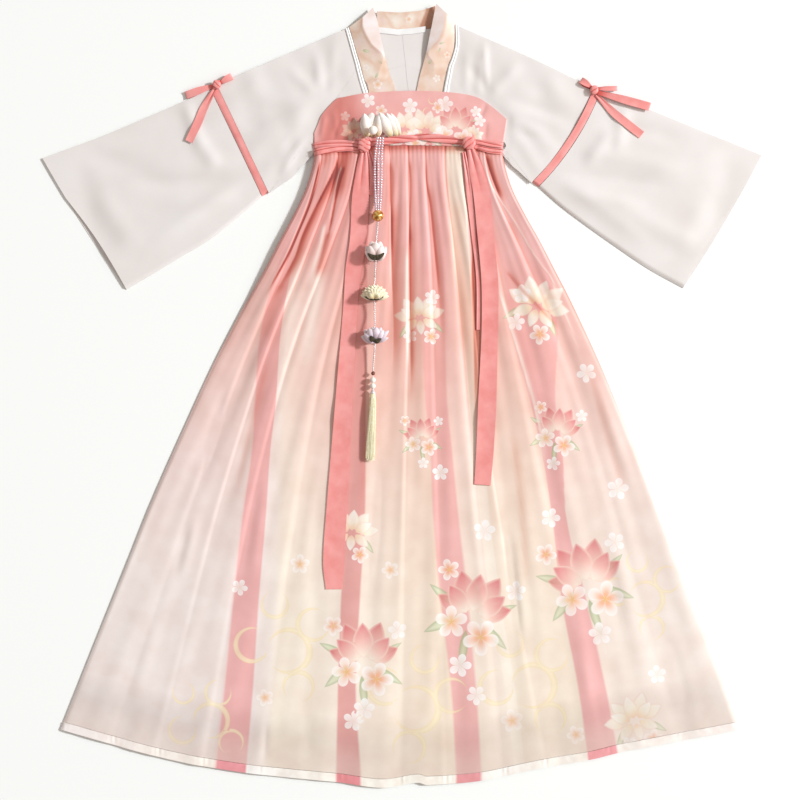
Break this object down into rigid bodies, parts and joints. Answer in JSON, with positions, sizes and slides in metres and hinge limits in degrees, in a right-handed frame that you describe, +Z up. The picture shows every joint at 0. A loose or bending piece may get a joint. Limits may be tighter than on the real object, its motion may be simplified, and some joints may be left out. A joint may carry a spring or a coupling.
{
  "type": "hanfu robe and chest-high skirt set",
  "caption": "Sheer robe with wide flared sleeves under a pleated chest-high skirt with tie, hanging ribbons and a flower pendant with tassel, laid flat",
  "frame": {"origin": "middle of the laid-out outline, on the surface that the garment lies on", "axes": "+X to the right as seen from above, +Y from the hem to the collar, +Z up off the surface"},
  "size_m": [1.2432, 1.3502, 0.041],
  "materials": {
    "sheer_white": "sheer satin",
    "pink_chiffon": "matte",
    "pale_lining": "matte",
    "hem_satin": "satin",
    "collar_satin": "satin",
    "white_tape": "satin",
    "coral_satin": "satin",
    "silver_thread": "satin",
    "petal_white": "matte",
    "petal_pink": "matte",
    "petal_cream": "matte",
    "petal_lilac": "matte",
    "pearl": "gloss",
    "gold": "gloss",
    "silver": "gloss",
    "dark_wood": "satin",
    "crystal": "gloss",
    "silk_tassel": "satin"
  },
  "bodies": {
    "root": {"skirt_front": "pink_chiffon", "skirt_back": "pink_chiffon", "skirt_lining": "pale_lining", "hem_front": "hem_satin", "hem_back": "hem_satin", "band_front": "pink_chiffon", "band_back": "pink_chiffon", "robe_front_left": "sheer_white", "robe_front_right": "sheer_white", "robe_back_left": "sheer_white", "robe_back_right": "sheer_white", "sleeve_left": "sheer_white", "sleeve_right": "sheer_white", "sleeve_ribbon_left": "coral_satin", "sleeve_ribbon_right": "coral_satin", "collar_left": "collar_satin", "collar_right": "collar_satin", "collar_back": "collar_satin", "neck_tape": "white_tape", "piping_left": "white_tape", "piping_right": "white_tape", "tie_left_upper": "coral_satin", "tie_left_lower": "coral_satin", "tie_centre_left": "coral_satin", "tie_centre_right": "coral_satin", "tie_right_upper": "coral_satin", "tie_right_lower": "coral_satin", "ribbon_left": "coral_satin", "ribbon_left_short": "coral_satin", "ribbon_right": "coral_satin", "ribbon_right_under": "coral_satin", "tie_knot_left": "coral_satin", "tie_knot_right": "coral_satin", "bow_left_knot": "coral_satin", "bow_left_loop_1": "coral_satin", "bow_left_loop_2": "coral_satin", "bow_left_tail": "coral_satin", "bow_right_knot": "coral_satin", "bow_right_loop_1": "coral_satin", "bow_right_loop_2": "coral_satin", "bow_right_loop_3": "coral_satin", "bow_right_tail": "coral_satin", "pendant_flower_top": "petal_white", "pendant_pearl": "pearl", "pendant_string_left": "crystal", "pendant_string_middle": "crystal", "pendant_string_right": "crystal", "pendant_gold_bead": "gold", "pendant_cord": "silver_thread", "pendant_lotus": "petal_pink", "pendant_cream_flower": "petal_cream", "pendant_lilac_flower": "petal_lilac", "pendant_brown_bead": "dark_wood", "pendant_pearl_upper": "pearl", "pendant_pearl_lower": "pearl", "pendant_cap": "silver", "pendant_tassel": "silk_tassel"}
  },
  "joints": []
}
